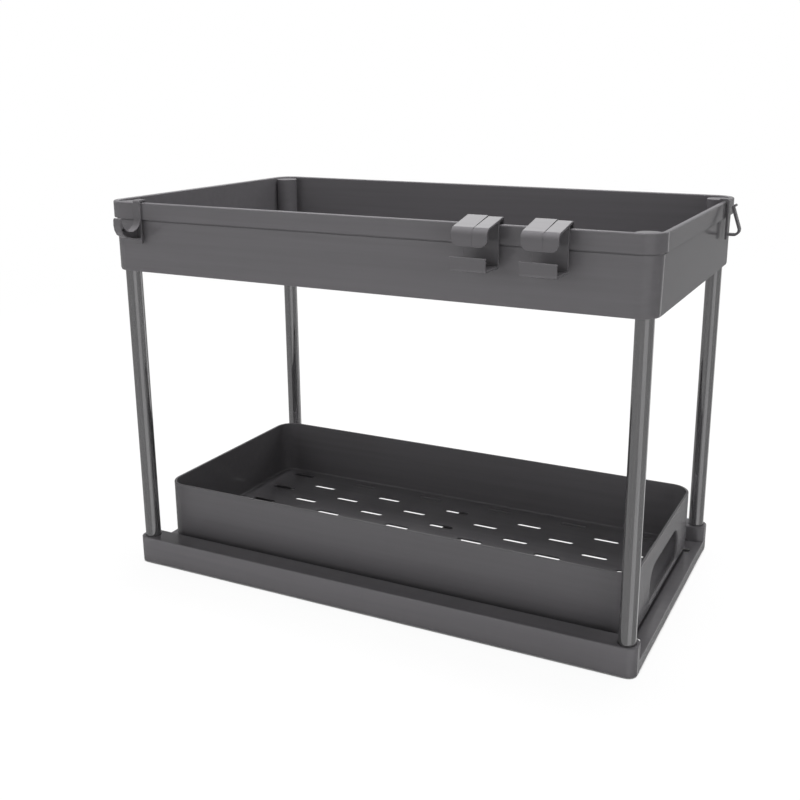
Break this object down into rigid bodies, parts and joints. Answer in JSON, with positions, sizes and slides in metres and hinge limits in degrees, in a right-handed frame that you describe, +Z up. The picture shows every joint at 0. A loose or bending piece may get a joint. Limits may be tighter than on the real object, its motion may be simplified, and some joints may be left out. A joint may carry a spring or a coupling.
{
  "type": "under sink organizer",
  "caption": "Two-tier under sink organizer: a slotted basket slides out of a low base frame, four tubes carry a deep tray, and hooks clip over the tray's rim.",
  "frame": {"origin": "on the floor under the middle of the base and the tray", "axes": "+X along the long side to the end where the basket pulls out, +Z up, the hooked front faces -Y"},
  "size_m": [0.4119, 0.2529, 0.2849],
  "materials": {
    "tray_plastic": "glossy moulded, dark grey",
    "base_plastic": "glossy moulded, dark grey",
    "basket_plastic": "glossy moulded, dark grey",
    "tube_steel": "glossy dark grey coat on steel",
    "plug_plastic": "plain black moulding",
    "pad_rubber": "matt black",
    "hook_plastic": "satin moulded, mid grey"
  },
  "bodies": {
    "frame": {"base_frame": "base_plastic", "upper_tray": "tray_plastic", "tube_front_left": "tube_steel", "lower_plug_front_left": "plug_plastic", "upper_plug_front_left": "plug_plastic", "pad_front_left": "pad_rubber", "tube_front_right": "tube_steel", "lower_plug_front_right": "plug_plastic", "upper_plug_front_right": "plug_plastic", "pad_front_right": "pad_rubber", "tube_back_left": "tube_steel", "lower_plug_back_left": "plug_plastic", "upper_plug_back_left": "plug_plastic", "pad_back_left": "pad_rubber", "tube_back_right": "tube_steel", "lower_plug_back_right": "plug_plastic", "upper_plug_back_right": "plug_plastic", "pad_back_right": "pad_rubber", "pad_middle": "pad_rubber"},
    "basket": {"basket": "basket_plastic"},
    "wide_hook_left": {"wide_hook_left": "hook_plastic"},
    "wide_hook_right": {"wide_hook_right": "hook_plastic"},
    "j_hook": {"j_hook": "hook_plastic"},
    "snap_hook": {"snap_hook": "hook_plastic"}
  },
  "joints": [
    {"name": "basket_slide", "type": "slide", "parent": "frame", "child": "basket", "axis": [1, 0, 0], "range_m": [0, 0.14]},
    {"name": "wide_hook_left_slide", "type": "slide", "parent": "frame", "child": "wide_hook_left", "axis": [1, 0, 0], "range_m": [-0.2, 0.015]},
    {"name": "wide_hook_right_slide", "type": "slide", "parent": "frame", "child": "wide_hook_right", "axis": [1, 0, 0], "range_m": [-0.004, 0.028]},
    {"name": "j_hook_slide", "type": "slide", "parent": "frame", "child": "j_hook", "axis": [1, 0, 0], "range_m": [-0.004, 0.04]},
    {"name": "snap_hook_slide", "type": "slide", "parent": "frame", "child": "snap_hook", "axis": [0, 1, 0], "range_m": [-0.15, 0.01]}
  ]
}
